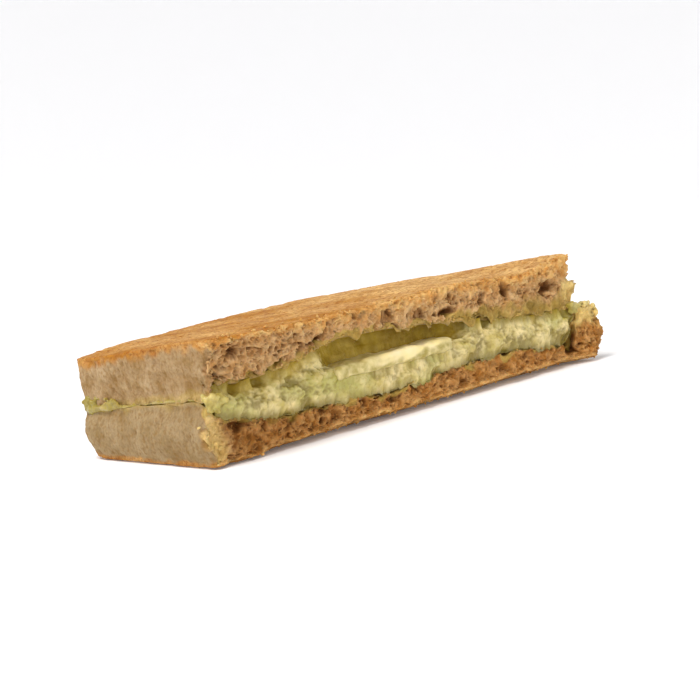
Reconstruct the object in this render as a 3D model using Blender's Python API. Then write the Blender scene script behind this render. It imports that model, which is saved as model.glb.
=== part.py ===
"""Half of a kaya toast sandwich, lying flat: two toasted slices, kaya between them, and butter in the kaya.

The loaf's crusts are trimmed off and the sandwich is halved with one knife cut. +X runs along that cut, from
the left end to the right end, +Y runs from the cut face to the trimmed back, and +Z is up. The torn cut face
and the gaping filling are at the front, and the slices close to a thin seam at the back and at the left end.
Lengths are in millimetres, and the finished meshes are scaled to metres.
"""

import bmesh
import bpy
from mathutils import Matrix, Vector, noise

MM = 0.001

# The plan: where the faces of the half stand
CUT_Y = -24.0
BACK_Y = 26.0
LOWER_LEFT, LOWER_RIGHT = -52.5, 57.5
UPPER_LEFT, UPPER_RIGHT = -51.0, 50.5
KAYA_INSET = 2.2

# Lines along the cut face, as (x, z) knots: the kaya's underside, its top, and the toasted top
FRONT_LOW = (
    (-53, 11.4), (-46, 9.4), (-41, 8.4), (-32, 7.3), (-17, 6.9), (-6, 6.1), (3, 6.4),
    (12, 7.2), (20, 7.7), (30, 7.4), (39, 6.4), (45.5, 5.7), (50, 12.7), (53, 12.9), (55.5, 12.2),
    (58, 10.6),
)
FRONT_HIGH = (
    (-53, 13.9), (-47, 15.8), (-42.5, 14.8), (-32, 15.6), (-21.5, 18.0), (-16, 18.6), (-5, 18.2),
    (4, 17.4), (12, 16.5), (21, 15.2), (29, 13.8), (37, 13.0), (44, 12.8), (50, 14.0), (58, 14.0),
)
FRONT_TOP = ((-53, 25.0), (-38, 24.3), (-10, 23.9), (15, 24.2), (36, 23.2), (50, 25.2), (58, 25.2))
# The same three lines along the trimmed back
BACK_LOW = ((-53, 9.6), (0, 10.2), (58, 10.0))
BACK_HIGH = ((-53, 11.3), (0, 12.0), (58, 11.8))
BACK_TOP = ((-53, 21.2), (-35, 22.6), (0, 23.2), (30, 22.8), (58, 21.8))
# How high the lower slice's cut rim curls off the table, and how far back the curl goes
FRONT_CURL = (
    (-53, 0.3), (-42, 0.4), (-33, 1.5), (-20, 1.9), (0, 1.7), (20, 1.8), (38, 1.9), (47, 1.5), (58, 0.6),
)
CURL_REACH = 9.0

# Clearance that keeps the kaya apart from the slices, and the slices from each other
GAP = 0.45
RIM_GAP = 0.56
RIM_WIDTH = 3.2

# How far the slices' ends and backs draw in: the toasted rims stand proud of the crumb beside the seam
UPPER_BACK_CORNER = 2.0
LOWER_BACK_CORNER = 3.5
UPPER_DRAW_IN = 0.4
LOWER_DRAW_IN = 1.4
LOWER_CORNER_LIFT = 3.2
LOWER_TAPER = 3.5
LOWER_NUB_ROUND = 3.2
UPPER_LEAN = 3.4

# Butter slab, cut through by the knife
BUTTER_CENTRE = (-4.2, 12.1)
BUTTER_SIZE = (32.0, 20.0, 3.0)
BUTTER_PROUD = 0.4
BUTTER_EDGE = 0.5
BUTTER_CLEARANCE = 0.35

# How far the kaya stands back from the cut face: all over, more in its upper half, and in the hollow over the butter
KAYA_RECESS = 0.6
KAYA_SETBACK = 0.3
HOLLOW_DEPTH = 5.5
HOLLOW_FROM, HOLLOW_TO = -25.0, 21.0
# The share of the layer's depth over which the hollow's setback fades out
HOLLOW_SPREAD = 0.4

# Relief of the torn crumb, of the trimmed sides and of the kaya's curds
CRUMB_CELL = 4.2
CRUMB_DEPTH = 1.5
TRIM_CELL = 6.0
TRIM_DEPTH = 0.3
CURD_CELL = 3.4
CURD_HEIGHT = 0.9
KAYA_EDGE_WAVE = 1.2

# Cells along X, Y and Z of each grid, and the share of its triangles that is kept
SLICE_CELLS = (84, 14, 8)
KAYA_CELLS = (76, 12, 9)
KEPT_SHARE = 0.5

# Colour and roughness
BREAD = ((0.48, 0.31, 0.15, 1.0), 0.9)
KAYA = ((0.56, 0.44, 0.18, 1.0), 0.45)
BUTTER = ((0.74, 0.58, 0.26, 1.0), 0.35)


def smooth(t):
    """0 below 0, 1 above 1 and an S-curve between."""
    t = min(1.0, max(0.0, t))
    return t * t * (3 - 2 * t)


def mix(a, b, share):
    return a + (b - a) * share


def along(knots, x):
    """Height at x on a smooth line through the (x, z) knots."""
    for (x0, z0), (x1, z1) in zip(knots, knots[1:]):
        if x <= x1:
            return mix(z0, z1, smooth((x - x0) / (x1 - x0)))
    return knots[-1][1]


def surface(front, back, x, y):
    """Height of a layer's face, blended from its line on the cut face to its line on the back."""
    return mix(along(front, x), along(back, x), smooth((y - CUT_Y) / (BACK_Y - CUT_Y)))


def seam(x, y):
    """(underside, top) of the room for the kaya: the trimmed rims pinch it nearly shut."""
    low, high = surface(FRONT_LOW, BACK_LOW, x, y), surface(FRONT_HIGH, BACK_HIGH, x, y)
    to_rim = min(x - UPPER_LEFT, UPPER_RIGHT - x, BACK_Y - y)
    pinch = smooth(1 - to_rim / RIM_WIDTH)
    middle = (low + high) / 2
    return mix(low, middle - RIM_GAP / 2, pinch), mix(high, middle + RIM_GAP / 2, pinch)


def toasted_top(x, y):
    """The upper toasted face: gently arched, and wavy where it was pressed on the grill."""
    return surface(FRONT_TOP, BACK_TOP, x, y) + 0.35 * noise.noise(Vector((x, y, 0)) / 22.0)


def resting_face(x, y):
    """The lower toasted face: flat, and curled up along its cut rim and at its back left corner."""
    corner = Vector((x - LOWER_LEFT, y - BACK_Y)).length
    curl = along(FRONT_CURL, x) * smooth(1 - (y - CUT_Y) / CURL_REACH) ** 2
    return curl + LOWER_CORNER_LIFT * smooth(1 - corner / 9.0) ** 2


def air_hole(point, cell, reach):
    """1 in the middle of an air hole of the crumb, and 0 on the walls between the holes."""
    return smooth(1 - noise.voronoi(point / cell)[0][0] / reach)


def crumb_depth(point):
    """How far the torn crumb stands back from the knife's plane."""
    crags = 0.5 + 0.5 * noise.fractal(point / 5.0, 0.8, 2.1, 3)
    holes = air_hole(point + Vector((31, 7, 3)), CRUMB_CELL, 0.62)
    return CRUMB_DEPTH * (0.35 * crags + 0.75 * holes)


def trim_depth(point):
    """The same for a side where the crust was cut off: nearly smooth."""
    return TRIM_DEPTH * air_hole(point, TRIM_CELL, 0.8)


def curd_height(point):
    """How far a curd of kaya stands out."""
    return CURD_HEIGHT * air_hole(point + Vector((5, 50, 11)), CURD_CELL, 0.75)


def unit_grid(cells):
    """A closed cube from 0 to 1, with the given number of cells along X, Y and Z."""
    bm = bmesh.new()
    bmesh.ops.create_cube(bm, size=1.0, matrix=Matrix.Translation((0.5, 0.5, 0.5)))
    for axis, count in enumerate(cells):
        edges = [e for e in bm.edges if abs((e.verts[0].co - e.verts[1].co)[axis]) > 0.5]
        bmesh.ops.subdivide_edges(bm, edges=edges, cuts=count - 1, use_grid_fill=True)
    return bm


def round_back_corners(x, y, left, right, radius):
    """Turns the plan's square back corners into arcs, and leaves the knife-cut front corners sharp."""
    centre_y = BACK_Y - radius
    reach = Vector((x - min(max(x, left + radius), right - radius), y - centre_y))
    if y <= centre_y or not reach.x:
        return x, y
    rounded = reach * (max(abs(reach.x), reach.y) / reach.length)
    return x - reach.x + rounded.x, centre_y + rounded.y


def place_on_grid(u, v, left, right, radius, draw_in, nub_draw_in):
    """The plan position of a grid point. The ends and the back draw in by draw_in, and the front of the right
    end by nub_draw_in."""
    x = mix(left + draw_in, right - mix(draw_in, nub_draw_in, smooth(1 - v / 0.35)), u)
    y = mix(CUT_Y, BACK_Y - draw_in, v)
    return round_back_corners(x, y, left + draw_in, right - draw_in, radius)


def rough_faces(point, u, v, w, depth):
    """Moves a point of a grid's outer faces inwards by the relief of the crumb there."""
    x, y, z = point
    if v < 1e-6:
        y += depth
    if v > 1 - 1e-6:
        y -= trim_depth(point)
    if u < 1e-6:
        x += trim_depth(point)
    if u > 1 - 1e-6:
        x -= 2 * trim_depth(point)
    return Vector((x, y, z))


def lower_slice():
    bm = unit_grid(SLICE_CELLS)
    for vert in bm.verts:
        u, v, w = vert.co
        # Its ends are barrel-shaped, and its front right end is a torn nub, round like a knuckle.
        draw_in = LOWER_DRAW_IN * (2 * w - 1) ** 2
        nub = LOWER_NUB_ROUND * (2 * w - 1) ** 2
        x, y = place_on_grid(u, v, LOWER_LEFT, LOWER_RIGHT, LOWER_BACK_CORNER, draw_in, nub)
        x -= LOWER_TAPER * smooth((v - 0.2) / 0.6) * smooth((u - 0.85) / 0.15)
        z = mix(resting_face(x, y), seam(x, y)[0], w)
        point = rough_faces(Vector((x, y, z)), u, v, w, crumb_depth(Vector((x, y, z))))
        knuckle = smooth((x - 48) / 4) * smooth(1 - v / 0.3)
        crease = smooth(1 - abs(x - 46.5) / 2.2) * smooth(1 - v / 0.12)
        point.y += 1.6 * crease - 1.6 * knuckle
        vert.co = point
    return finish_solid("lower_slice", bm, "bread", BREAD)


def upper_slice():
    bm = unit_grid(SLICE_CELLS)
    for vert in bm.verts:
        u, v, w = vert.co
        # The toasted rim stands proud, and the crumb draws in towards the seam.
        draw_in = UPPER_DRAW_IN * smooth(1 - w / 0.8)
        x, y = place_on_grid(u, v, UPPER_LEFT, UPPER_RIGHT, UPPER_BACK_CORNER, draw_in, draw_in)
        z = mix(seam(x, y)[1], toasted_top(x, y), w)
        point = rough_faces(Vector((x, y, z)), u, v, w, crumb_depth(Vector((x, y, z))))
        # Its left part leans out over the cut, and a small lobe of crumb hangs out of its right end.
        point.y -= UPPER_LEAN * w * smooth((20 - x) / 60) * (1 - v)
        point.x += 2.8 * smooth(1 - abs(z - 17.4) / 3.4) * smooth(1 - v / 0.35) * smooth((u - 0.95) / 0.05)
        vert.co = point
    return finish_solid("upper_slice", bm, "bread", BREAD)


def kaya_setback(x, w):
    """How far the kaya stands back on the cut face: it bulges low down, and is hollow over the butter."""
    hollow = smooth((x - HOLLOW_FROM) / 8) * smooth((HOLLOW_TO - x) / 8)
    bulge = 0.7 * smooth(1 - abs(w - 0.3) / 0.35)
    return mix(KAYA_SETBACK, HOLLOW_DEPTH, hollow) * smooth((w - 0.5) / 0.25) - bulge


def kaya_layer():
    bm = unit_grid(KAYA_CELLS)
    for vert in bm.verts:
        u, v, w = vert.co
        x, y = place_on_grid(u, v, UPPER_LEFT, UPPER_RIGHT, LOWER_BACK_CORNER, KAYA_INSET, KAYA_INSET)
        # The hollow pushes the rows behind the cut face back too, so that the top never folds over itself.
        y += kaya_setback(x, w) * smooth(1 - v / HOLLOW_SPREAD)
        low, high = seam(x, y)
        z = mix(low + GAP, high - GAP, w)
        point = Vector((x, y, z))
        if v < 1e-6:
            y += KAYA_RECESS - curd_height(point)
        if v > 1 - 1e-6:
            y -= KAYA_EDGE_WAVE * abs(noise.noise(point / 6.0))
        if u < 1e-6:
            x += KAYA_EDGE_WAVE * abs(noise.noise(point / 5.0))
        vert.co = (x, y, z)
    return finish_solid("kaya", bm, "kaya", KAYA)


def butter_box(name, grow, edge):
    """The butter slab grown all round by the given amount, with its edges rounded."""
    width, depth, height = BUTTER_SIZE
    x, z = BUTTER_CENTRE
    bm = bmesh.new()
    bmesh.ops.create_cube(bm, size=1.0)
    bmesh.ops.scale(bm, verts=bm.verts, vec=(width + 2 * grow, depth + 2 * grow, height + 2 * grow))
    if edge:
        bmesh.ops.bevel(bm, geom=bm.edges, offset=edge, segments=3, profile=0.5, affect="EDGES")
    bmesh.ops.translate(bm, verts=bm.verts, vec=(x, CUT_Y - BUTTER_PROUD + depth / 2, z))
    return finish_solid(name, bm, "butter", BUTTER, kept_share=1.0)


def cut_pocket(kaya):
    """Makes room for the butter in the kaya, open at the cut face."""
    cutter = butter_box("butter_pocket", BUTTER_CLEARANCE, 0.0)
    for vert in cutter.data.vertices:
        if vert.co.y < CUT_Y:
            vert.co.y -= 6.0
    cutter.hide_render = True
    cutter.display_type = "WIRE"
    pocket = kaya.modifiers.new("butter_pocket", "BOOLEAN")
    pocket.operation = "DIFFERENCE"
    pocket.solver = "EXACT"
    pocket.object = cutter
    return cutter


def food_material(name, finish):
    colour, roughness = finish
    material = bpy.data.materials.get(name) or bpy.data.materials.new(name)
    material.diffuse_color = colour
    material.use_nodes = True
    shader = material.node_tree.nodes["Principled BSDF"]
    shader.inputs["Base Color"].default_value = colour
    shader.inputs["Roughness"].default_value = roughness
    shader.inputs["Metallic"].default_value = 0.0
    return material


def finish_solid(name, bm, material_name, finish, kept_share=KEPT_SHARE):
    """Makes the object with its material, and thins its triangles where it is nearly flat."""
    bmesh.ops.recalc_face_normals(bm, faces=bm.faces)
    mesh = bpy.data.meshes.new(name)
    bm.to_mesh(mesh)
    bm.free()
    mesh.materials.append(food_material(material_name, finish))
    piece = bpy.data.objects.new(name, mesh)
    bpy.context.scene.collection.objects.link(piece)
    if kept_share < 1.0:
        thin = piece.modifiers.new("thin_flat_faces", "DECIMATE")
        thin.ratio = kept_share
        thin.use_collapse_triangulate = True
    return piece


def place_on_base(pieces, helpers):
    """Scales to metres, with the origin under the middle of the whole box."""
    graph = bpy.context.evaluated_depsgraph_get()
    points = [v.co.copy() for piece in pieces for v in piece.evaluated_get(graph).data.vertices]
    low = Vector(min(p[axis] for p in points) for axis in range(3))
    high = Vector(max(p[axis] for p in points) for axis in range(3))
    middle = (low + high) / 2
    to_base = Matrix.Scale(MM, 4) @ Matrix.Translation((-middle.x, -middle.y, -low.z))
    for piece in pieces + helpers:
        piece.data.transform(to_base)


def main():
    for old in list(bpy.data.objects):
        bpy.data.objects.remove(old)
    kaya = kaya_layer()
    cutter = cut_pocket(kaya)
    butter = butter_box("butter", 0.0, BUTTER_EDGE)
    place_on_base([lower_slice(), kaya, butter, upper_slice()], [cutter])


main()
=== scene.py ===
# %% [markdown]
# # Half of a kaya toast sandwich
#
# Kaya toast is a tea-time sandwich: two slices of toast with kaya, a curdled custard of egg, coconut and
# pandan, and a slab of cold butter. This one has its crusts trimmed off and was halved with one cut, which
# tore the crumb and dragged some kaya along. The solids that the frame holds have its true size and main
# forms. Here each of them gets its real surface: torn crumb, trimmed crumb, toasted faces, curds and soft
# butter.

# %% Load the frame
import math
import random

import bmesh
import bpy
from mathutils import Matrix, Quaternion, Vector, noise
from mathutils.bvhtree import BVHTree


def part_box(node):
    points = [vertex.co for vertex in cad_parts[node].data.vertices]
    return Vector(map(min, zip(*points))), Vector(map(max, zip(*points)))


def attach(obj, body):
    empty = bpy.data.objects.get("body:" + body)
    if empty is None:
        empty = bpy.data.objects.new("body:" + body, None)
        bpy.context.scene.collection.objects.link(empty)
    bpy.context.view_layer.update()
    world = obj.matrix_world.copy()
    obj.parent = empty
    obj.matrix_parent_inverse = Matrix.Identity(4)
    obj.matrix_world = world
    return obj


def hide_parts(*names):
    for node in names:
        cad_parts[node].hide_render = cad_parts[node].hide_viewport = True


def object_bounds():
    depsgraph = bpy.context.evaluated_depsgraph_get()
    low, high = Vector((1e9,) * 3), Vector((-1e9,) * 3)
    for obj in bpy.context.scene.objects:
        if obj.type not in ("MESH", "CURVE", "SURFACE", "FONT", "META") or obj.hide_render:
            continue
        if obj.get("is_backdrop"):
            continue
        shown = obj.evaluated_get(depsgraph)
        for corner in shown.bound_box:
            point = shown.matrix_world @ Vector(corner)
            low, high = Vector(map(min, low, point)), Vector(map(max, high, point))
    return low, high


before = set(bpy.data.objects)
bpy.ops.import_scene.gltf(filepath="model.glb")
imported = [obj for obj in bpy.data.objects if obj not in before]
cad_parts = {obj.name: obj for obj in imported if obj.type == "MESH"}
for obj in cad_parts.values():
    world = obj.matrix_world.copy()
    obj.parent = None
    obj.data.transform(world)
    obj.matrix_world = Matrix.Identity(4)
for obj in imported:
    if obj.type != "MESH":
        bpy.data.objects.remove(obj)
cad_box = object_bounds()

print("nodes:", ", ".join(sorted(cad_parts)))
print("box:", [round(v * 1000, 1) for corner in cad_box for v in corner], "mm")

# %% [markdown]
# ## Numbers in millimetres
#
# Blender's unit here is the metre, but a crumb is easier to think of in millimetres. So the patterns below
# are all worked out in millimetres, and one constant turns them back. `ramp` is the S-curve that every soft
# edge uses.

# %% Millimetres and soft steps
MM = 0.001


def ramp(low, high, value):
    """0 at low and 1 at high, with an S-curve between. low may be the larger of the two."""
    t = min(1.0, max(0.0, (value - low) / (high - low)))
    return t * t * (3 - 2 * t)


def mix(a, b, share):
    return a + (b - a) * share


print("halfway up a ramp:", ramp(0, 2, 1))

# %% [markdown]
# ## Where the faces of each slice are
#
# A slice has a toasted face and a face against the kaya, and neither is flat. The relief needs to know how
# deep a point lies under each of them. A ray cast straight up or down through the solid from the frame finds
# both faces, and a level ray finds the trimmed side or the cut face at a height.


# %% Measure a slice's faces
class Layer:
    """A slice of the frame that can tell where its faces are, in millimetres."""

    # How far inside its ends, its cut face and its back a slice has both its faces, whatever its corners do
    LEFT, RIGHT, CUT, BACK = 1.9, 4.5, 4.5, 3.0

    def __init__(self, node):
        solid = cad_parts[node]
        graph = bpy.context.evaluated_depsgraph_get()
        self.tree = BVHTree.FromObject(solid, graph)
        self.low, self.high = (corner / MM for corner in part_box(node))

    def reach(self, start, way):
        """Where a ray from start along way first meets the slice, or None."""
        hit = self.tree.ray_cast(Vector(start) * MM, Vector(way))[0]
        return hit / MM if hit else None

    def nearest(self, point):
        """The slice's nearest place to a point."""
        return self.tree.find_nearest(point * MM)[0] / MM

    def faces(self, x, y):
        """(lower height, upper height), read a little inside the slice's edges, where the rays always hit."""
        x = min(max(x, self.low.x + self.LEFT), self.high.x - self.RIGHT)
        y = min(max(y, self.low.y + self.CUT), self.high.y - self.BACK)
        return self.reach((x, y, -1000), (0, 0, 1)).z, self.reach((x, y, 1000), (0, 0, -1)).z

    def front(self, x, z):
        """Where the cut face is, in depth, at a place on it, read inside its edges."""
        x = min(max(x, self.low.x + 3.0), self.high.x - 3.0)
        lower, upper = self.faces(x, self.low.y)
        z = min(max(z, lower + 1), upper - 1)
        return self.reach((x, -1000, z), (0, 1, 0)).y


layers = {name: Layer(name) for name in ("lower_slice", "upper_slice")}
for name, layer in layers.items():
    print(name, "faces at the middle:", [round(z, 1) for z in layer.faces(0, 0)], "mm")


def seam_height(x, y):
    """Halfway between the two slices' inner faces."""
    return (layers["lower_slice"].faces(x, y)[1] + layers["upper_slice"].faces(x, y)[0]) / 2


# %% [markdown]
# ## A fine skin on each solid
#
# The frame's solids are coarse, loose triangles. A copy is merged and then remeshed in small even cells,
# which is the only way to get points where the relief needs them without redrawing the shape. The cells are
# then split again only where the eye looks for crumb: finely on the torn cut face and its rims, less finely
# on the trimmed sides and the upper toasted face. Dividing everything evenly would be simpler, but most of
# the points would then go to hidden faces.

# %% Copy, merge and remesh a solid
SKIN_CELL = 0.78


def mesh_into(bm, name):
    """A new object, in the scene, that holds the bmesh."""
    mesh = bpy.data.meshes.new(name)
    bm.to_mesh(mesh)
    bm.free()
    piece = bpy.data.objects.new(name, mesh)
    bpy.context.scene.collection.objects.link(piece)
    return piece


def even_cells(piece, cell):
    """Remeshes the piece in even cells, of a size in millimetres, which also joins shapes that overlap."""
    cells = piece.modifiers.new("even_cells", "REMESH")
    cells.mode = "VOXEL"
    cells.voxel_size = cell * MM
    graph = bpy.context.evaluated_depsgraph_get()
    piece.data = bpy.data.meshes.new_from_object(piece.evaluated_get(graph))
    piece.data.name = piece.name
    piece.modifiers.clear()


def skin_of(node, name, cell):
    """A new object with the node's shape, as an even mesh with the given cell in millimetres."""
    bm = bmesh.new()
    bm.from_mesh(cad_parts[node].data)
    bmesh.ops.remove_doubles(bm, verts=bm.verts, dist=0.001 * MM)
    piece = mesh_into(bm, name)
    even_cells(piece, cell)
    return piece


def split_where(piece, wanted, cuts):
    """Splits each face for which wanted(centre in mm, normal) is true into cuts + 1 rows."""
    bm = bmesh.new()
    bm.from_mesh(piece.data)
    bm.normal_update()
    edges = {e for f in bm.faces if wanted(f.calc_center_median() / MM, f.normal) for e in f.edges}
    bmesh.ops.subdivide_edges(bm, edges=list(edges), cuts=cuts, use_grid_fill=True)
    bm.to_mesh(piece.data)
    bm.free()


def smooth_skin(piece, rounds):
    """Evens out the facets of the coarse solid."""
    bm = bmesh.new()
    bm.from_mesh(piece.data)
    axes = dict.fromkeys(("use_axis_x", "use_axis_y", "use_axis_z"), True)
    for _ in range(rounds):
        bmesh.ops.smooth_vert(bm, verts=bm.verts, factor=0.5, **axes)
    bm.to_mesh(piece.data)
    bm.free()


print("the skin's cells are", SKIN_CELL, "mm wide")

# %% [markdown]
# ### The slices' skins
#
# A face is on the cut if its normal points to the front, or if it is within a few millimetres of the cut
# face.

# %% Skins of the slices
RIM_DEEP = 3.0
# The y of a unit normal, below which a face looks to the front
CUT_FACE = -0.35
SEEN_CUTS, SEEN_LESS_CUTS = 3, 1


def on_the_cut(layer, centre, normal):
    """The torn cut face and its rims."""
    return normal.y < CUT_FACE or centre.y < layer.low.y + RIM_DEEP


def seen_less(layer, centre, normal):
    """The trimmed sides, and the toasted face on top."""
    side_or_top = abs(normal.z) < 0.6 or (normal.z > 0.6 and layer is layers["upper_slice"])
    return side_or_top and normal.y > CUT_FACE and centre.y > layer.low.y + RIM_DEEP


slices = {}
for node, layer in layers.items():
    piece = skin_of(node, node + "_bread", SKIN_CELL)
    smooth_skin(piece, 2)
    split_where(piece, lambda centre, normal: on_the_cut(layer, centre, normal), SEEN_CUTS)
    split_where(piece, lambda centre, normal: seen_less(layer, centre, normal), SEEN_LESS_CUTS)
    slices[node] = piece
    print(piece.name, "has", len(piece.data.polygons), "faces")

# %% [markdown]
# ## Patterns of crumb
#
# Bread crumb is a foam: thin walls around air cells of all sizes, from a few tenths of a millimetre to three.
# Voronoi cells divide space the way that bubbles do. The difference between the distances to the two nearest
# cell middles is nought on a wall and grows inside a cell, so it gives bowls with thin walls. Some cells are
# shallow and some are deep, as the knife met them. Two or three sizes of bowl on top of each other look like
# crumb. The place is first bent by noise, because a real bubble is never round and a torn one even less.


# %% Air cells and folds
# Noise vectors are drawn from a seed, so that every run gives the same crumb.
noise.seed_set(1)


def bent(point, size, amount):
    """The point moved about by noise of the given size, so that cells get uneven outlines."""
    return point + noise.noise_vector(point / size) * size * amount


def air_cell(point, cell, wall, share):
    """How deep a point is in an air cell, 0 to 1, past its wall. share is how many of the cells are open."""
    distances, middles = noise.voronoi(bent(point, cell, 0.5) / cell)
    depth = min(1.0, max(0.0, share + noise.cell(middles[0] * 7.3) * 0.5))
    return depth * ramp(0.0, wall, distances[1] - distances[0])


def folds(point, size):
    """-1 to 1 in soft folds of about the given size."""
    return noise.noise(bent(point, size, 0.4) / size)


row = [Vector((x * 0.5, 3, 2)) for x in range(200)]
print("open share of the cells:", sum(air_cell(p, 1.6, 0.4, 0.5) > 0.3 for p in row) / len(row))

# %% [markdown]
# ## Sculpting one slice
#
# Every point of a slice is moved along its normal by the relief of its place. The torn face gets the deepest
# relief, the trimmed sides a shallow one, and the toasted faces only low bowls, since the grill pressed them.
# Crumb that kaya soaked is limp, so it gets soft folds instead of air cells.

# %% Depths of the relief
# Each row is an air cell's size, the width of its wall, the share of such cells that open and their depth.
TORN_CELLS = ((3.0, 0.5, 0.25, 1.4), (1.5, 0.45, 0.4, 1.0), (0.8, 0.4, 0.6, 0.65))
TRIM_CELLS = ((2.6, 0.6, -0.15, 0.9), (0.9, 0.5, 0.2, 0.2))
TOAST_CELLS = ((3.6, 0.7, 0.1, 0.6), (1.7, 0.5, 0.3, 0.4))
# Each row is a fold's size and height.
TORN_FOLDS = ((5.0, 0.8), (2.0, 0.6), (0.7, 0.3))
TRIM_FOLDS = ((3.2, 0.5), (1.2, 0.25), (0.6, 0.2))
SOAKED_FOLDS = ((3.0, 1.8), (1.4, 0.8), (0.7, 0.25))


def cells_relief(point, rows):
    """Depth in mm of the air cells of several sizes, one on another."""
    step = Vector((11, 5, 17))
    return sum(row[3] * air_cell(point + step * index, *row[:3]) for index, row in enumerate(rows))


def folds_relief(point, rows):
    """Depth in mm of soft folds of several sizes."""
    return sum(deep * (0.5 - 0.5 * folds(point, size)) for size, deep in rows)


def torn_relief(point):
    # The cells are a little wider than high, as the slice was pressed.
    place = Vector((point.x, point.y, point.z * 1.15))
    return cells_relief(place, TORN_CELLS) + folds_relief(point, TORN_FOLDS)


def trimmed_relief(point):
    return cells_relief(point, TRIM_CELLS) + folds_relief(point, TRIM_FOLDS)


def toasted_relief(point):
    return cells_relief(Vector((point.x, point.y, 0)), TOAST_CELLS)


reliefs = (torn_relief, trimmed_relief, toasted_relief)
print("torn, trimmed and toasted at one place:", [round(f(Vector((1, 2, 3))), 2) for f in reliefs], "mm deep")

# %% [markdown]
# ### Large pores, and how points are moved
#
# A few large pores, which the knife opened, have places of their own. One function moves every point of a
# piece by a shape function. What else that function says of a place, its tones, stays on the mesh as
# attributes. They let the material paint shade into crevices, toast the faces and stain the crumb beside the
# kaya, without any picture.

# %% Pores, and moving the points
# Each pore is its place from the slice's left end, its height, half its width and height, and its depth.
PORES = {
    "upper_slice": (
        (80.6, 19.8, 1.6, 2.4, 0.9), (93.2, 19.0, 2.4, 1.3, 1.3), (62.8, 18.9, 2.2, 0.9, 1.2),
        (75.9, 14.3, 1.7, 0.8, 2.2), (48.7, 18.5, 1.3, 0.6, 1.3), (6.4, 21.0, 1.4, 1.2, 1.4),
        (81.0, 19.8, 1.0, 0.8, 1.4), (63.0, 18.5, 1.6, 0.7, 1.6), (93.4, 18.4, 1.0, 0.8, 1.4),
        (2.6, 16.0, 1.3, 1.8, 2.6), (8.2, 14.4, 1.3, 1.5, 2.4), (11.8, 15.4, 1.5, 0.9, 2.0),
        (18.0, 16.8, 1.2, 1.0, 1.6), (23.4, 18.6, 0.9, 1.3, 1.8), (27.6, 18.6, 0.9, 1.2, 1.8),
    ),
    "lower_slice": ((8.5, 7.4, 2.4, 1.0, 2.0), (46.0, 4.0, 1.8, 0.9, 1.2), (100.0, 6.0, 1.4, 3.2, 4.6)),
}


def pore_depth(point, pores, left):
    place = bent(point, 2.2, 0.35)
    return sum(deep * ramp(1.3, 0.2, math.hypot((place.x - left - at) / wide, (place.z - high) / tall))
               for at, high, wide, tall, deep in pores)


def sculpt(piece, shape, tones):
    """Moves each point as shape(point, normal) says, in millimetres, and keeps its tones as attributes."""
    mesh = piece.data
    columns = {tone: [] for tone in tones}
    for vert, normal in zip(mesh.vertices, [v.normal.copy() for v in mesh.vertices]):
        move, values = shape(vert.co / MM, normal)
        vert.co += move * MM
        for tone in tones:
            columns[tone].append(values[tone])
    for tone, column in columns.items():
        mesh.attributes.new(tone, "FLOAT", "POINT").data.foreach_set("value", column)
    mesh.shade_smooth()
    mesh.update()


print("large pores:", {node: len(pores) for node, pores in PORES.items()})

# %% [markdown]
# ### The tones of a place in a slice
#
# The heights above and below a point say how near it is to the toasted face and to the kaya. Toasting and
# kaya go a few millimetres into the crumb, and both end in an uneven edge. The torn lobes at the right end
# are pale and soaked all through, and the lower slice's crumb gets a painted shade that makes it darker and
# browner than the upper one's.

# %% Tones of the bread
# How much painted shade a place has in its pits, how torn, how toasted, how stained with kaya, how much
# painted shade darkens the lower slice's crumb, how pale with soaking, and how brown its toasted face is
TONES = ("pit", "torn", "toast", "stain", "brown", "pale", "browned")


def toasted_deep(x, toasted_side):
    """How deep the toasting goes. The upper slice's right end was toasted nearly through."""
    return 2.5 + 1.0 * ramp(-42, -5, x) + 2.2 * ramp(34, 44, x) if toasted_side > 0 else 1.3


def stain_deep(x, toasted_side):
    """How far kaya soaked into the crumb: further towards the right end, where it was pressed hardest."""
    return mix(1.1, 4.8, ramp(4, 26, x)) if toasted_side > 0 else mix(1.6, 1.2, ramp(-30, 0, x))


def bread_tones(layer, toasted_side, brown, point, torn, toasted_face):
    """The tones of a place in a slice, all but the painted shade of its pits."""
    lower, upper = layer.faces(point.x, point.y)
    to_toast, to_kaya = (upper - point.z, point.z - lower)[::toasted_side]
    wobble = folds(point, 1.7)
    slow = folds(point + Vector((31, 7, 3)), 4.0)
    deep = toasted_deep(point.x, toasted_side)
    toast = ramp(deep, 0.2 * deep, to_toast + (0.4 + 0.3 * deep) * wobble + 0.5 * slow)
    deep = mix(0.8, stain_deep(point.x, toasted_side), torn)
    soak = folds(point + Vector((3, 1, 9)), 2.6)
    uneven = (2.0 * soak + 0.8 * slow) * mix(0.2, 1.0, torn)
    stain = ramp(deep, 0.35 * deep, to_kaya + uneven) * mix(0.5, 1.0, torn)
    # The torn lobes at the right end are soaked all through, and so is the lower left corner of the cut.
    from_right = layer.high.x - point.x - 1.5 * slow
    if toasted_side > 0:
        lobe = ramp(6.5, 4.0, from_right) * ramp(4.5, 6.5, to_toast + 1.5 * wobble)
    else:
        lobe = ramp(10.5, 8.5, from_right) * ramp(6.2, 2.2, to_kaya + 1.5 * wobble)
    corner = 0.75 * ramp(5.5, 2.0, point.x - layer.low.x + 1.5 * slow) * (toasted_side < 0) * torn
    return {
        "torn": torn,
        "toast": max(toast, toasted_face),
        "stain": stain * (1 - toasted_face) * (1 - lobe),
        "brown": brown * mix(0.6, ramp(layer.low.x + 2, layer.low.x + 8, point.x + 3 * slow), torn),
        "pale": max(lobe, corner) * (1 - toasted_face),
        "browned": min(1.0, max(0.0, 0.1 + 0.8 * folds(point, 12.0) + 0.6 * ramp(40, -45, point.x))),
    }


print("the upper slice is toasted", [round(toasted_deep(x, 1), 1) for x in (-50, 0, 50)], "mm deep")

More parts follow.
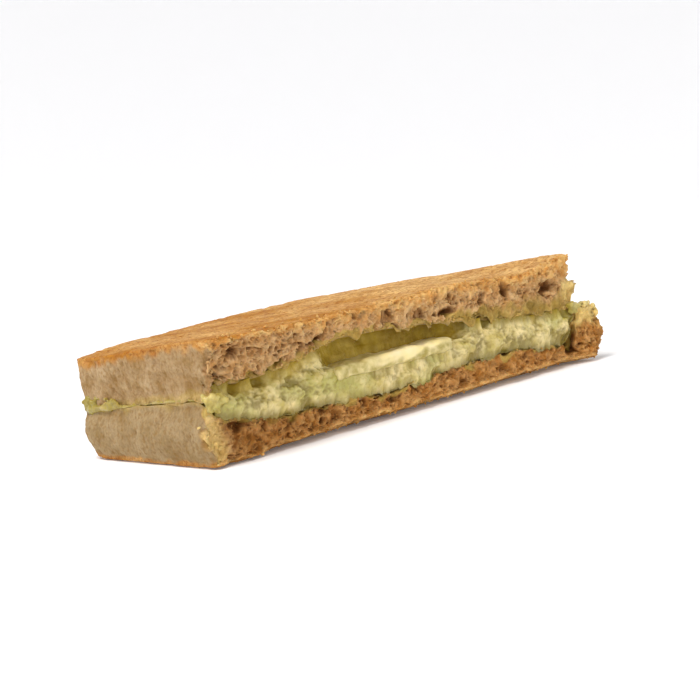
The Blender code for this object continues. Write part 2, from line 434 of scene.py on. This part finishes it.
# %% [markdown]
# ### Which relief a point gets
#
# The point's normal says which face it is on. On the cut, torn crumb hangs over the kaya in tatters, the
# toasted rim is chipped and the upright edges are worn round. Along the trimmed sides the slices press
# together in one wavy line.

# %% Sculpt the slices
# How far the torn face stands out before its relief goes in
PROUD = 0.6
# The depths where painted shade begins in a torn pit and where it is darkest
SHALLOW, DEEPEST = 0.8, 2.8
# How far soft walls lean and the trimmed edges wave, each with the size of its swings
SWAY, SWAY_SIZE = 0.4, 1.6
WAVY, WAVY_SIZE = 0.9, 5.0
# How far tatters hang, and how deep the rim's chips are
TATTER = 1.25
CHIP = 1.3
# The share of a gap between the slices that closes, and how wide it may be
PRESSED, PRESSED_FROM = 0.75, 2.4
# How far the upright edges are worn in, and how far the tearing goes round them
WORN = 1.3
RAGGED = 4.5


def bread_shape(node, toasted_side, brown):
    """The shape of a slice whose toasted face is its upper (1) or its lower (-1) one."""
    layer = layers[node]
    other = layers["lower_slice" if toasted_side > 0 else "upper_slice"]

    def shape(point, normal):
        lower, upper = layer.faces(point.x, point.y)
        to_toast, to_kaya = (upper - point.z, point.z - lower)[::toasted_side]
        toasted_face = ramp(0.6, 0.85, normal.z * toasted_side)
        # The tearing goes a little round the upright edges, in an uneven line.
        ragged = RAGGED * max(0.0, folds(Vector((4, 1, point.z)), 2.8) + 0.15)
        from_cut = point.y - layer.front(point.x, point.z)
        near_cut = ramp(0.9 + ragged, 0.3 + ragged, from_cut) * (1 - toasted_face)
        front = max(ramp(0.25, 0.7, -normal.y), near_cut)
        tones = bread_tones(layer, toasted_side, brown, point, front, toasted_face)
        # The face against the kaya stays flat.
        depth = trimmed_relief(point) * ramp(0.8, 0.5, -normal.z * toasted_side)
        if front:
            # Soaked crumb is limp and its cells close up, and the toasted rim is dense.
            limp = 0.85 * max(tones["stain"], tones["pale"])
            torn = mix(torn_relief(point), folds_relief(point, SOAKED_FOLDS), limp)
            torn *= mix(1.0, 0.6, tones["toast"])
            depth = mix(depth, torn - PROUD + pore_depth(point, PORES[node], layer.low.x), front)
        if toasted_face:
            depth = mix(depth, toasted_relief(point), toasted_face)
        move = -normal * depth
        # Soft walls lean over a little, so that the hollows are not all cut straight in.
        move += noise.noise_vector(point / SWAY_SIZE) * SWAY * front
        # Both slices' edges follow one wavy line along the trimmed sides.
        wave = folds(Vector((point.x, point.y, 5)), WAVY_SIZE)
        at_side = ramp(3.0, 0.5, abs(layer.low.x - point.x))
        move.z += WAVY * wave * ramp(3.5, 0.5, to_kaya) * at_side * (1 - front)
        rim = max(ramp(0.1, 0.4, -normal.y), near_cut)
        # Torn crumb hangs in tatters over the kaya, and its toasted rim is chipped.
        place = Vector((point.x, 4, point.z / 3))
        tatter = ramp(-0.1, 0.45, folds(place, 3.4)) + 0.35 * ramp(0.0, 0.4, folds(place, 1.5))
        tatter *= rim
        hanging = 1.0 if toasted_side > 0 else 0.3
        move.z -= toasted_side * TATTER * tatter * ramp(2.6, 0.2, to_kaya) * hanging
        chip = max(0.0, folds(Vector((point.x, 9, 0)), 1.6))
        move.z -= toasted_side * CHIP * chip * rim * ramp(1.2, 0.0, to_toast)
        # The upright edges are worn round, and the two slices press together all along their trimmed sides.
        corner = ramp(2.5, 0.0, point.x - layer.low.x) * rim
        move.x += WORN * max(0.0, folds(Vector((3, 8, point.z)), 1.9) + 0.2) * corner
        gap = other.nearest(point) - point
        move += gap * PRESSED * ramp(PRESSED_FROM, 0.5 * PRESSED_FROM, gap.length)
        # Painted shade in the pits, deepest on the torn face, and more of it towards the left end, most of
        # all on the lower slice's crumb.
        left_end_shade = mix(0.12, 0.3, brown) * ramp(-10, -45, point.x)
        torn_pit_shade = min(1.0, left_end_shade + ramp(SHALLOW, DEEPEST, depth + PROUD))
        tones["pit"] = mix(ramp(0.4, 1.5, depth), torn_pit_shade, front)
        return move, tones

    return shape


sculpt(slices["lower_slice"], bread_shape("lower_slice", -1, 1.0), TONES)
sculpt(slices["upper_slice"], bread_shape("upper_slice", 1, 0.0), TONES)
print("sculpted:", ", ".join(s.name for s in slices.values()))

# %% [markdown]
# ## Kaya
#
# Kaya is a curdled custard: soft curds of a millimetre or two, wet enough to shine, and drawn out sideways
# where the knife went through. It is the same kind of skin as the bread's, but the lumps stand outwards and
# are round. Folds of four sizes on top of each other make them.

# %% Curds
# Each row is a curd's size and height.
CURDS = ((4.5, 0.45), (1.9, 0.5), (1.0, 0.6), (0.5, 0.36))
CURD_SWING = sum(high for _, high in CURDS)
DRAWN_OUT = 1.3


def curd_height(point):
    """0 to 1 over curds of several sizes."""
    place = Vector((point.x / DRAWN_OUT, point.y, point.z))
    step = Vector((9, 4, 2))
    swells = sum(high * (0.5 + 0.5 * folds(place + step * size, size)) for size, high in CURDS)
    return swells / CURD_SWING


def curd_move(point, normal, front):
    """(outward move in mm, how much painted shade the place gets as a crevice)"""
    height = curd_height(point)
    return normal * CURD_SWING * (height - 0.5) * front, ramp(0.58, 0.26, height)


print("curds stand", round(CURD_SWING / 2, 2), "mm out at most")

# %% [markdown]
# ### Kaya between the slices
#
# The solids keep a clearance, so each point of the kaya that is near a slice or the butter moves on to it.
# The knife left a few hollows under the upper crumb, pulled the lower edge down over the crumb and pushed a
# lip of kaya up over the butter's lower edge. Under the upper crumb and deep in the recess it gets a painted
# olive shade.

# %% Sculpt the kaya
KAYA_CELL = 0.55
# How far behind its front the kaya is seen, and how often its faces there are cut
KAYA_SEEN, KAYA_CUTS = 12, 2
# How far it lies behind the cut, how far its lower edge is dragged down and how high its lip is
SUNK = 0.6
DRAG = 1.9
LIP = 1.8
# How far it goes into a neighbour, and from how far away
CLING, CLING_FROM = 0.5, 1.5
# Each hollow is a row like a pore's, measured from the sandwich's left end.
KAYA_HOLLOWS = (
    (8.8, 14.2, 1.9, 1.0, 2.4), (14.6, 14.0, 1.7, 0.8, 1.9), (1.8, 15.8, 2.2, 1.3, 2.5),
    (76.0, 14.0, 1.7, 0.9, 2.4), (80.4, 14.5, 1.6, 0.6, 1.6),
)
# How much painted shade a place gets as a crevice, and how much painted olive shade
KAYA_TONES = ("pit", "deep")


def cling(point, nearest):
    """The move that bridges the gap to a neighbour and goes on into it."""
    gap = nearest - point
    return (gap + gap.normalized() * CLING) * ramp(CLING_FROM, 0.6 * CLING_FROM, gap.length)


kaya_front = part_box("kaya")[0].y / MM
left_face = min(layer.low.x for layer in layers.values())
butter_low, butter_high = (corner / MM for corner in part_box("butter"))
butter_tree = BVHTree.FromObject(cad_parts["butter"], bpy.context.evaluated_depsgraph_get())


def kaya_shape(point, normal):
    front = ramp(0.1, 0.5, -normal.y)
    inside = ramp(1.6, 3.0, point.y - kaya_front)
    move, pit = curd_move(point, normal, mix(max(front, 0.35), 0.5, inside))
    # The knife dragged its lower edge down over the crumb in places.
    pulled = folds(Vector((point.x, 7, 0)), 4.5) + 0.6 * folds(Vector((point.x, 2, 0)), 1.2)
    drag = max(0.0, pulled + 0.1) * front
    move.z -= DRAG * drag * ramp(0.0, 0.5, -normal.z)
    hollow = pore_depth(point, KAYA_HOLLOWS, left_face) * front
    move.y += hollow + SUNK * front * (1 - inside)
    # It sticks to both slices and to the butter, and gets painted shade where it comes near either slice.
    moves = [cling(point, layer.nearest(point)) for layer in layers.values()]
    butter_place = butter_tree.find_nearest(point * MM)[0] / MM
    moves.append(cling(point, butter_place))
    # It rises in a lip over the butter's lower edge.
    lip = ramp(1.4, 0.5, (butter_place - point).length) * ramp(0.4, -0.2, point.y - butter_low.y)
    tucked = 0.7 * ramp(10, 2, butter_high.x - point.x)
    move.z += LIP * lip * ramp(-0.3, 0.5, folds(Vector((point.x, 1, 6)), 2.6) + tucked)
    thin = min(1.0, 0.6 * max(m.length for m in moves[:2]))
    pit = max(pit, ramp(0.3, 1.5, hollow), thin)
    # Away from the butter its crevices get more painted shade.
    away_from_butter = ramp(12, 24, abs(point.x + 6))
    pit = min(1.0, pit * (1 + 0.5 * away_from_butter) + 0.06 * away_from_butter)
    # Painted olive shade under the upper crumb, reaching further down at the left end, and deep in the
    # recess.
    above = (layers["upper_slice"].nearest(point) - point).length + 0.8 * folds(point, 2.2)
    painted_olive_shade = 0.9 * ramp(mix(3.2, 1.8, ramp(-30, -15, point.x)), 0.4, above)
    shaded = ramp(1.8, 5.5, point.y - kaya_front + 2.5 * folds(point, 3.0))
    return sum(moves, move), {"pit": pit, "deep": max(painted_olive_shade, shaded)}


kaya = skin_of("kaya", "kaya_curds", KAYA_CELL)
smooth_skin(kaya, 9)
split_where(kaya, lambda centre, normal: centre.y < kaya_front + KAYA_SEEN and normal.y < -0.2, KAYA_CUTS)
sculpt(kaya, kaya_shape, KAYA_TONES)
print(kaya.name, "has", len(kaya.data.polygons), "faces")

# %% [markdown]
# ### Kaya that oozed out
#
# Pressing and cutting squeezed kaya out at the edges: a thin line between the slices along the left trimmed
# side, lumps at its two ends, and more beside the nub at the right end of the cut. Each lump starts as a
# small ball, stretched and turned. Remeshing them all together melts the ones that touch into one another, as
# real drips do.

# %% Ooze
OOZE_CELL = 0.3
dice = random.Random(4)


def ball(bm, place, sizes, turn=0.0, rounds=2):
    """Adds a ball at place with the given half sizes, all in millimetres."""
    spin = Quaternion((0, 1, 0), turn)
    matrix = Matrix.LocRotScale(Vector(place) * MM, spin, Vector(sizes) * MM)
    return bmesh.ops.create_icosphere(bm, subdivisions=rounds, radius=1.0, matrix=matrix)["verts"]


def side_at(y, z):
    """Where the trimmed left side of the sandwich is at a height."""
    hits = [layer.reach((-1000, y, z + lift), (1, 0, 0)) for layer in layers.values() for lift in (-1.2, 1.2)]
    return min(hit.x for hit in hits if hit)


def side_line(bm):
    """The thin uneven line between the slices along the trimmed side, which thickens towards the back."""
    y = layers["lower_slice"].high.y - 3.5
    while y > -22:
        z = seam_height(left_face, y)
        swell = 0.3 + 0.3 * max(0.0, folds(Vector((y, 5, 5)), 3.0)) + 0.4 * ramp(6, 15, y)
        ball(bm, (side_at(y, z) + mix(1.5, 1.1, ramp(4, 14, y)), y, z), (0.9, 1.2, swell))
        y -= 0.9


# Each cluster is a middle, its reach, how many lumps it has and how big they are. Along the cut, a middle is
# measured from the sandwich's left end.
CLUSTERS = (
    ((2.3, 16.5, 12.3), (0.5, 7.0, 0.7), 22, 0.65), ((1.8, 22.0, 11.2), (0.5, 1.4, 1.3), 12, 0.6),
    ((1.6, -22.4, 13.7), (0.5, 1.6, 0.4), 8, 0.6), ((3.4, -23.9, 13.2), (1.8, 0.5, 0.9), 14, 0.75),
    ((2.2, -24.0, 12.2), (1.1, 0.3, 1.0), 12, 0.75), ((101.6, -23.4, 13.0), (1.6, 0.6, 0.9), 16, 0.7),
    ((103.6, -21.8, 13.2), (1.6, 2.2, 0.4), 18, 0.6),
)


def cluster(bm, middle, reach, number, size):
    """Uneven lumps heaped about a middle."""
    for _ in range(number):
        place = [m + r * dice.uniform(-1, 1) for m, r in zip(middle, reach)]
        sizes = [size * dice.uniform(0.6, 1.25) for _ in range(3)]
        ball(bm, (left_face + place[0], place[1], place[2]), sizes, dice.uniform(0, 3))


bm = bmesh.new()
side_line(bm)
for row in CLUSTERS:
    cluster(bm, *row)
ooze = mesh_into(bm, "kaya_ooze")
even_cells(ooze, OOZE_CELL)
smooth_skin(ooze, 2)


def ooze_shape(point, normal):
    move, pit = curd_move(point, normal, 0.7)
    # What came out at the trimmed side gets painted shade, and all of it a little painted olive shade.
    side = ramp(-22, -18, point.y)
    return move, {"pit": max(pit, side * (0.7 + 0.3 * pit)), "deep": 0.3}


sculpt(ooze, ooze_shape, KAYA_TONES)
print(ooze.name, "has", len(ooze.data.polygons), "faces")

# %% [markdown]
# ## Butter
#
# A slab cut from a cold block, softened by the toast. Its edges are already round in the frame, so it only
# needs the gentle unevenness of something soft, in slow waves. A film of kaya, kept as a tone, covers its two
# ends and its lower edge, so that it comes out of the kaya and goes back into it.

# %% Sculpt the butter
BUTTER_CELL = 0.35


def butter_shape(point, normal):
    wave = 0.5 * noise.noise(point / 5.0) + 0.25 * noise.noise(point / 1.8)
    film = folds(Vector((point.x / 2.0, 3, point.z)), 1.6)
    left = ramp(18, 6, point.x - butter_low.x + 6 * film)
    right = ramp(5, 1, butter_high.x - point.x + 2 * film)
    # The film reaches higher up the slab towards its right end.
    rise = ramp(13, 1, butter_high.x - point.x)
    under = ramp(mix(1.7, 3.0, rise), mix(0.6, 1.7, rise), point.z - butter_low.z + 1.2 * film)
    return normal * wave, {"film": max(0.9 * left, 0.8 * right, under)}


butter = skin_of("butter", "butter_slab", BUTTER_CELL)
smooth_skin(butter, 14)
sculpt(butter, butter_shape, ("film",))
print(butter.name, "has", len(butter.data.polygons), "faces")

# %% [markdown]
# ## Loose crumbs
#
# Cutting toast leaves crumbs that stick to the cut, most of them along the rims. Each one is an icosphere of
# twenty faces with its corners pushed about, which is plenty for something so small. They are one joined
# mesh, dropped onto the sculpted bread by level rays. They carry the tones of the place where they landed, so
# the bread's own material dresses them. Larger bits of torn crumb, in the same mesh, hang on at the nub.

# %% Crumbs
# Each slice has a number of crumbs, its toasted side and how much painted shade darkens its crumb.
CRUMBS = {"upper_slice": (520, 1, 0.0), "lower_slice": (420, -1, 1.0)}


def crumb(bm, tone_layers, place, size, tones, rounds=1):
    """Adds one uneven crumb, with the given tones on all its points."""
    sizes = [size * dice.uniform(0.5, 1.2) for _ in range(3)]
    for vert in ball(bm, place, sizes, dice.uniform(0, 3), rounds):
        vert.co += noise.noise_vector(vert.co / MM * 3.1 / max(1.0, size)) * size * 0.7 * MM
        for tone in TONES:
            vert[tone_layers[tone]] = tones[tone]


def scatter_crumbs(bm, tone_layers, node):
    number, toasted_side, brown = CRUMBS[node]
    layer = layers[node]
    tree = BVHTree.FromObject(slices[node], bpy.context.evaluated_depsgraph_get())
    for _ in range(number):
        x = dice.uniform(layer.low.x + 0.3, layer.high.x - 0.3)
        lower, upper = layer.faces(x, layer.low.y)
        # Half of them gather at the rims.
        height = dice.choice((dice.random(), dice.choice((0.04, 0.96)) + dice.gauss(0, 0.06)))
        z = mix(lower, upper, min(1.0, max(0.0, height)))
        hit, normal, _, _ = tree.ray_cast(Vector((x, -100, z)) * MM, Vector((0, 1, 0)))
        if hit is None or hit.y / MM > layer.low.y + 5:
            continue
        size = 0.16 + 0.3 * dice.random() ** 2
        # Each crumb gets a little painted shade at random.
        tones = bread_tones(layer, toasted_side, brown, hit / MM, 1.0, 0.0) | {"pit": dice.uniform(0.0, 0.35)}
        crumb(bm, tone_layers, hit / MM + normal * size * 0.3, size, tones)


# Each row says where torn bits hang on, as a middle and a reach, how many there are and how big.
TORN_BITS = (
    ((52.6, -21.6, 11.4), (1.1, 1.6, 1.0), 34, 0.8),
    ((50.6, -23.0, 12.8), (1.2, 1.0, 0.5), 14, 0.6),
)


def tear_bits(bm, tone_layers, middle, reach, number, size):
    """Larger, pale bits of torn crumb heaped about a middle."""
    for _ in range(number):
        place = [m + r * dice.uniform(-1, 1) for m, r in zip(middle, reach)]
        # Each bit gets a little painted shade at random.
        tones = dict.fromkeys(TONES, 0.0) | {"torn": 1.0, "pale": 1.0, "pit": dice.uniform(0.0, 0.4)}
        crumb(bm, tone_layers, place, size * dice.uniform(0.5, 1.2), tones, rounds=2)


bm = bmesh.new()
tone_layers = {tone: bm.verts.layers.float.new(tone) for tone in TONES}
for node in slices:
    scatter_crumbs(bm, tone_layers, node)
for row in TORN_BITS:
    tear_bits(bm, tone_layers, *row)
crumbs = mesh_into(bm, "stuck_crumbs")
crumbs.data.shade_smooth()
print(crumbs.name, "has", len(crumbs.data.polygons), "faces")

# %% [markdown]
# ## Materials
#
# Colours are written as sRGB hex values, as in a paint program, and one function turns them to the linear
# numbers that Blender's sockets want. One more function adds a node with its settings and its links. All the
# food is a little translucent and is finely uneven, so those two finishes have functions of their own.


# %% Colour and node helpers
def linear(code):
    """A hex colour such as "#c2a37e" as linear RGBA."""
    channels = [int(code[i : i + 2], 16) / 255 for i in (1, 3, 5)]
    return (*[c / 12.92 if c <= 0.04045 else ((c + 0.055) / 1.055) ** 2.4 for c in channels], 1.0)


def add(tree, kind, inputs, **settings):
    """Adds a shader node. settings are its own options, and inputs gives a value or another node's output."""
    node = tree.nodes.new("ShaderNode" + kind)
    for name, value in settings.items():
        setattr(node, name, value)
    for name, value in inputs.items():
        if isinstance(value, bpy.types.NodeSocket):
            tree.links.new(value, node.inputs[name])
        else:
            node.inputs[name].default_value = value
    return node


def new_material(name):
    """(material, its tree, its shader, Object coordinates)"""
    material = bpy.data.materials.new(name)
    material.use_nodes = True
    tree = material.node_tree
    coordinates = add(tree, "TexCoord", {}).outputs["Object"]
    return material, tree, tree.nodes["Principled BSDF"], coordinates


def tone(tree, name):
    """One of the numbers that sculpting left on the mesh."""
    return add(tree, "Attribute", {}, attribute_name=name).outputs["Fac"]


def blend(tree, share, first, second, how="MIX"):
    """The colour between first and second, at the given share."""
    node = add(tree, "Mix", {}, data_type="RGBA", blend_type=how)
    for index, value in ((0, share), (6, first), (7, second)):
        if isinstance(value, bpy.types.NodeSocket):
            tree.links.new(value, node.inputs[index])
        else:
            node.inputs[index].default_value = value
    return node.outputs[2]


def scaled(tree, value, factor):
    return add(tree, "Math", {0: value, 1: factor}, operation="MULTIPLY").outputs[0]


def spots(tree, coordinates, size_mm, low, high, detail=3.0):
    """0 to 1 in soft spots of about the given size: noise from low to high, stretched to the whole range."""
    pattern = add(tree, "TexNoise", {"Vector": coordinates, "Scale": 1 / (size_mm * MM), "Detail": detail})
    spread = add(tree, "MapRange", {"Value": pattern.outputs["Fac"], "From Min": low, "From Max": high})
    return spread.outputs["Result"]


def fine_bumps(tree, shader, where, size_mm, detail, strength, high_mm):
    """Unevenness too fine for the mesh, as a bump from noise of the given size and height."""
    pattern = add(tree, "TexNoise", {"Vector": where, "Scale": 1 / (size_mm * MM), "Detail": detail})
    height = pattern.outputs["Fac"]
    bump = add(tree, "Bump", {"Height": height, "Strength": strength, "Distance": high_mm * MM})
    tree.links.new(bump.outputs["Normal"], shader.inputs["Normal"])


def translucent(shader, share, radius, deep_mm):
    """Lets a share of the light into the surface. radius says how far red, green and blue go in."""
    shader.inputs["Subsurface Weight"].default_value = share
    shader.inputs["Subsurface Radius"].default_value = radius
    shader.inputs["Subsurface Scale"].default_value = deep_mm * MM


def dress(material, *pieces):
    """Gives the material, and no other, to the pieces."""
    for piece in pieces:
        piece.data.materials.clear()
        piece.data.materials.append(material)


print("toast colour, linear:", [round(c, 3) for c in linear("#d19855")])

# %% [markdown]
# ### Toasted white bread
#
# Wheat crumb, baked as foam and then toasted on a grill. The crumb is matt and a little translucent, so light
# bleeds into the tips of the lumps, and its crevices get a painted warm brown shade. The toasted faces are
# golden with browner patches, drier and slightly glossier.

# %% Bread material
bread_material, tree, shader, where = new_material("toasted_wheat_bread")
pit, torn, toast, stain, brown, pale, browned = (tone(tree, name) for name in TONES)
mottle = spots(tree, where, 1.8, 0.35, 0.65)
clouds = spots(tree, where, 5.0, 0.3, 0.7)
grain = spots(tree, where, 0.6, 0.3, 0.7)

# The trimmed crumb, with painted shade in its dimples and a painted browner shade on the lower slice
speckle = spots(tree, where, 1.0, 0.48, 0.68)
trimmed_crumb = blend(tree, clouds, linear("#98784c"), linear("#c2a780"))
trimmed_crumb = blend(tree, scaled(tree, pit, 0.75), trimmed_crumb, linear("#86642f"))
trimmed_crumb = blend(tree, scaled(tree, brown, 0.8), trimmed_crumb, linear("#93805b"))
trimmed_crumb = blend(tree, scaled(tree, speckle, 0.6), trimmed_crumb, linear("#8c6838"))
# The torn crumb, from its pale tips to the painted brown shade of its pits, with a painted browner shade on
# the lower slice
torn_crumb = blend(tree, mottle, linear("#c7965d"), linear("#e1b983"))
torn_crumb = blend(tree, brown, torn_crumb, blend(tree, mottle, linear("#aa7132"), linear("#d39e5f")))
torn_crumb = blend(tree, pale, torn_crumb, blend(tree, clouds, linear("#f0cc70"), linear("#fbe2a0")))
crumb = blend(tree, torn, trimmed_crumb, torn_crumb)
crumb = blend(tree, scaled(tree, pit, 0.9), crumb, blend(tree, pale, linear("#6a3c12"), linear("#a87a2c")))
# The toasted faces, from golden to brown, with darker flecks and painted shade in their bowls
flecks = spots(tree, where, 1.4, 0.46, 0.64, 5.0)
scorched = spots(tree, where, 6.0, 0.5, 0.72, 5.0)
golden = blend(tree, browned, linear("#e6b976"), linear("#b67a2a"))
golden = blend(tree, scaled(tree, flecks, 0.6), golden, linear("#ad6f2c"))
golden = blend(tree, scaled(tree, scorched, 0.5), golden, linear("#8f531c"))
specks = spots(tree, where, 0.8, 0.52, 0.64)
golden = blend(tree, scaled(tree, specks, 0.7), golden, linear("#8f501a"))
golden = blend(tree, scaled(tree, pit, 0.9), golden, linear("#8f5a22"))
# The toasted rim of the cut, which is lighter than the face over it, with painted shade in its pits
rim = blend(tree, mottle, linear("#d3964c"), linear("#ecc07a"))
rim = blend(tree, scaled(tree, pit, 0.9), rim, linear("#8a521e"))
face = blend(tree, toast, crumb, blend(tree, torn, golden, rim))
# Crumb soaked with kaya, with painted shade in its pits
soaked = blend(tree, clouds, linear("#a28836"), linear("#cfb05e"))
soaked = blend(tree, scaled(tree, pit, 0.85), soaked, linear("#6b5512"))
face = blend(tree, scaled(tree, stain, 0.8), face, soaked)
tree.links.new(blend(tree, 0.22, face, grain, "MULTIPLY"), shader.inputs["Base Color"])
rough = add(tree, "MapRange", {"Value": toast, "To Min": 0.9, "To Max": 0.75})
tree.links.new(rough.outputs["Result"], shader.inputs["Roughness"])
shader.inputs["Specular IOR Level"].default_value = 0.12
fine_bumps(tree, shader, where, size_mm=0.35, detail=4.0, strength=0.6, high_mm=0.3)
translucent(shader, share=0.3, radius=(1.0, 0.6, 0.3), deep_mm=0.8)
dress(bread_material, *slices.values(), crumbs)
print(bread_material.name, "has", len(tree.nodes), "nodes")

# %% [markdown]
# ### Kaya
#
# Egg and coconut custard coloured with pandan: pale tan curds with green patches, wet, with light that goes a
# millimetre or two into them. The wetness is a low roughness, with no coat over it.

# %% Kaya material
kaya_material, tree, shader, where = new_material("curdled_pandan_kaya")
pit = tone(tree, "pit")
mottle = spots(tree, where, 3.0, 0.35, 0.65)
green = spots(tree, where, 7.0, 0.45, 0.65)
curds = blend(tree, mottle, linear("#c4b060"), linear("#ead89c"))
curds = blend(tree, scaled(tree, green, 0.65), curds, linear("#a4a348"))
dots = spots(tree, where, 0.8, 0.5, 0.7)
curds = blend(tree, scaled(tree, dots, 0.5), curds, linear("#a08d3e"))
# Painted shade in the crevices between the curds
curds = blend(tree, scaled(tree, pit, 0.8), curds, linear("#7a681e"))
# Painted olive shade under the upper crumb and deep in the recess, where the shine is also lower
deep = tone(tree, "deep")
painted_olive_shade = blend(tree, mottle, linear("#8e7014"), linear("#b39626"))
curds = blend(tree, scaled(tree, deep, 0.85), curds, painted_olive_shade)
tree.links.new(curds, shader.inputs["Base Color"])
sheen = add(tree, "MapRange", {"Value": deep, "To Min": 0.5, "To Max": 0.1})
tree.links.new(sheen.outputs["Result"], shader.inputs["Specular IOR Level"])
shader.inputs["Roughness"].default_value = 0.22
fine_bumps(tree, shader, where, size_mm=0.5, detail=3.0, strength=0.6, high_mm=0.35)
translucent(shader, share=0.35, radius=(1.0, 0.8, 0.35), deep_mm=0.8)
dress(kaya_material, kaya, ooze)
print(kaya_material.name, "has", len(tree.nodes), "nodes")

# %% [markdown]
# ### Butter
#
# Cold salted butter, cut from a block: pale yellow, satin and a little translucent, and greener where kaya
# films it. The faint marks of a knife are too small for the mesh, so they are in the bump.

# %% Butter material
butter_material, tree, shader, where = new_material("cut_butter")
mottle = spots(tree, where, 4.0, 0.3, 0.7)
slab = blend(tree, mottle, linear("#ecda90"), linear("#f7e7b8"))
filmed = blend(tree, spots(tree, where, 1.5, 0.35, 0.65), linear("#a3923f"), linear("#d5c68c"))
tree.links.new(blend(tree, tone(tree, "film"), slab, filmed), shader.inputs["Base Color"])
shader.inputs["Roughness"].default_value = 0.4
fine_bumps(tree, shader, where, size_mm=0.9, detail=2.0, strength=0.25, high_mm=0.15)
translucent(shader, share=0.4, radius=(1.0, 0.85, 0.4), deep_mm=1.0)
dress(butter_material, butter)
print(butter_material.name, "has", len(tree.nodes), "nodes")

# %% [markdown]
# ## What each piece stands for
#
# Each sculpted piece rides on the one body and hides the solid that it was made from.

# %% Join the pieces to the frame
for piece, node, slot in (
    (slices["lower_slice"], "lower_slice", "bread"),
    (slices["upper_slice"], "upper_slice", "bread"),
    (kaya, "kaya", "kaya"),
    (butter, "butter", "butter"),
):
    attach(piece, "root")
    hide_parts(node)
    print(piece.name, "replaces", node)

for piece, slot in ((ooze, "kaya"), (crumbs, "bread")):
    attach(piece, "root")
    print(piece.name, "is an extra piece")

# %% [markdown]
# ## The set
#
# A pale round stage that curves up all round gives one even background from every side, with no horizon. It
# is spun from a profile: a flat floor and a quarter of a circle. The far paper gets less light than the
# floor, so a little light of its own keeps it as white.

# %% Stage
STAGE_RADIUS, STAGE_ARC = 1.8, 1.3
PAPER, PAPER_GLOW = "#fbfcff", 0.065


def make_stage():
    bm = bmesh.new()
    steps = 24
    profile = [(0.0, 0.0), (STAGE_RADIUS - STAGE_ARC, 0.0)]
    for step in range(1, steps + 1):
        turn = math.pi / 2 * step / steps
        profile.append((STAGE_RADIUS - STAGE_ARC * (1 - math.sin(turn)), STAGE_ARC * (1 - math.cos(turn))))
    verts = [bm.verts.new((x, 0, z)) for x, z in profile]
    edges = [bm.edges.new(pair) for pair in zip(verts, verts[1:])]
    once_round = {"cent": (0, 0, 0), "axis": (0, 0, 1), "angle": 2 * math.pi, "steps": 96}
    bmesh.ops.spin(bm, geom=verts + edges, use_merge=True, **once_round)
    bmesh.ops.remove_doubles(bm, verts=bm.verts, dist=1e-6)
    bmesh.ops.recalc_face_normals(bm, faces=bm.faces)
    bmesh.ops.reverse_faces(bm, faces=bm.faces)
    mesh = bpy.data.meshes.new("stage")
    bm.to_mesh(mesh)
    bm.free()
    mesh.shade_smooth()
    stage = bpy.data.objects.new("stage", mesh)
    bpy.context.scene.collection.objects.link(stage)
    return stage


stage = make_stage()
stage_material, tree, shader, where = new_material("pale_paper")
shader.inputs["Base Color"].default_value = linear(PAPER)
shader.inputs["Roughness"].default_value = 0.9
shader.inputs["Emission Color"].default_value = linear(PAPER)
shader.inputs["Emission Strength"].default_value = PAPER_GLOW
dress(stage_material, stage)
stage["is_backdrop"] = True
print("stage has", len(stage.data.polygons), "faces")

# %% [markdown]
# ## Light
#
# One large soft box stands above and to the left. A small weak one beside the camera gives the wet kaya its
# glints, which a large one can't. The rest is an even pale world.

# %% Lights and world
KEY_WATTS, GLINT_WATTS = 19.1, 0.6
WORLD_STRENGTH = 0.38


def soft_box(name, place, size, watts, colour):
    """A square area light at place, in metres, that faces the middle of the food."""
    light = bpy.data.lights.new(name, "AREA")
    light.shape = "SQUARE"
    light.size = size
    light.energy = watts
    light.color = colour
    lamp = bpy.data.objects.new(name, light)
    lamp.location = place
    lamp.rotation_mode = "QUATERNION"
    lamp.rotation_quaternion = (Vector((0, 0, 0.012)) - Vector(place)).to_track_quat("-Z", "Y")
    bpy.context.scene.collection.objects.link(lamp)
    return lamp


soft_box("key", (-0.6, -0.15, 1.4), 0.7, KEY_WATTS, (1.0, 0.97, 0.93))
soft_box("glint", (-0.35, -0.75, 0.5), 0.12, GLINT_WATTS, (1.0, 0.98, 0.95))
world = bpy.data.worlds.new("pale_room")
world.use_nodes = True
sky = world.node_tree.nodes["Background"]
sky.inputs["Color"].default_value = (1.0, 0.99, 0.97, 1.0)
sky.inputs["Strength"].default_value = WORLD_STRENGTH
bpy.context.scene.world = world
bpy.context.scene.view_settings.view_transform = "Standard"

# %% [markdown]
# ## Camera
#
# It looks from the front left, low over the food. A slight roll makes the half slope up to the right.

# %% Camera
CAMERA_PLACE = Vector((-211.1, -267.0, 52.4)) * MM
CAMERA_AIM = Vector((0.0, 0.0, 12.6)) * MM
CAMERA_ROLL = -9.0
CAMERA_LENS = 81.0

camera_data = bpy.data.cameras.new("camera")
camera_data.lens = CAMERA_LENS
camera_data.clip_start = 0.01
camera = bpy.data.objects.new("camera", camera_data)
camera.location = CAMERA_PLACE
camera.rotation_mode = "QUATERNION"
look = (CAMERA_AIM - CAMERA_PLACE).to_track_quat("-Z", "Y")
camera.rotation_quaternion = look @ Quaternion((0, 0, 1), math.radians(CAMERA_ROLL))
bpy.context.scene.collection.objects.link(camera)
bpy.context.scene.camera = camera
print("camera is", round((CAMERA_AIM - CAMERA_PLACE).length * 1000), "mm away")

# %% [markdown]
# ## The size at the finish
#
# How far the dressed food's box has grown past the solids' box is printed.

# %% Sizes and finish
dressed_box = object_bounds()
grown = [(b - a) * 1000 for c, d in zip(cad_box, dressed_box) for a, b in zip(c, d)]
print("grown by", [round(g, 2) for g in grown], "mm")
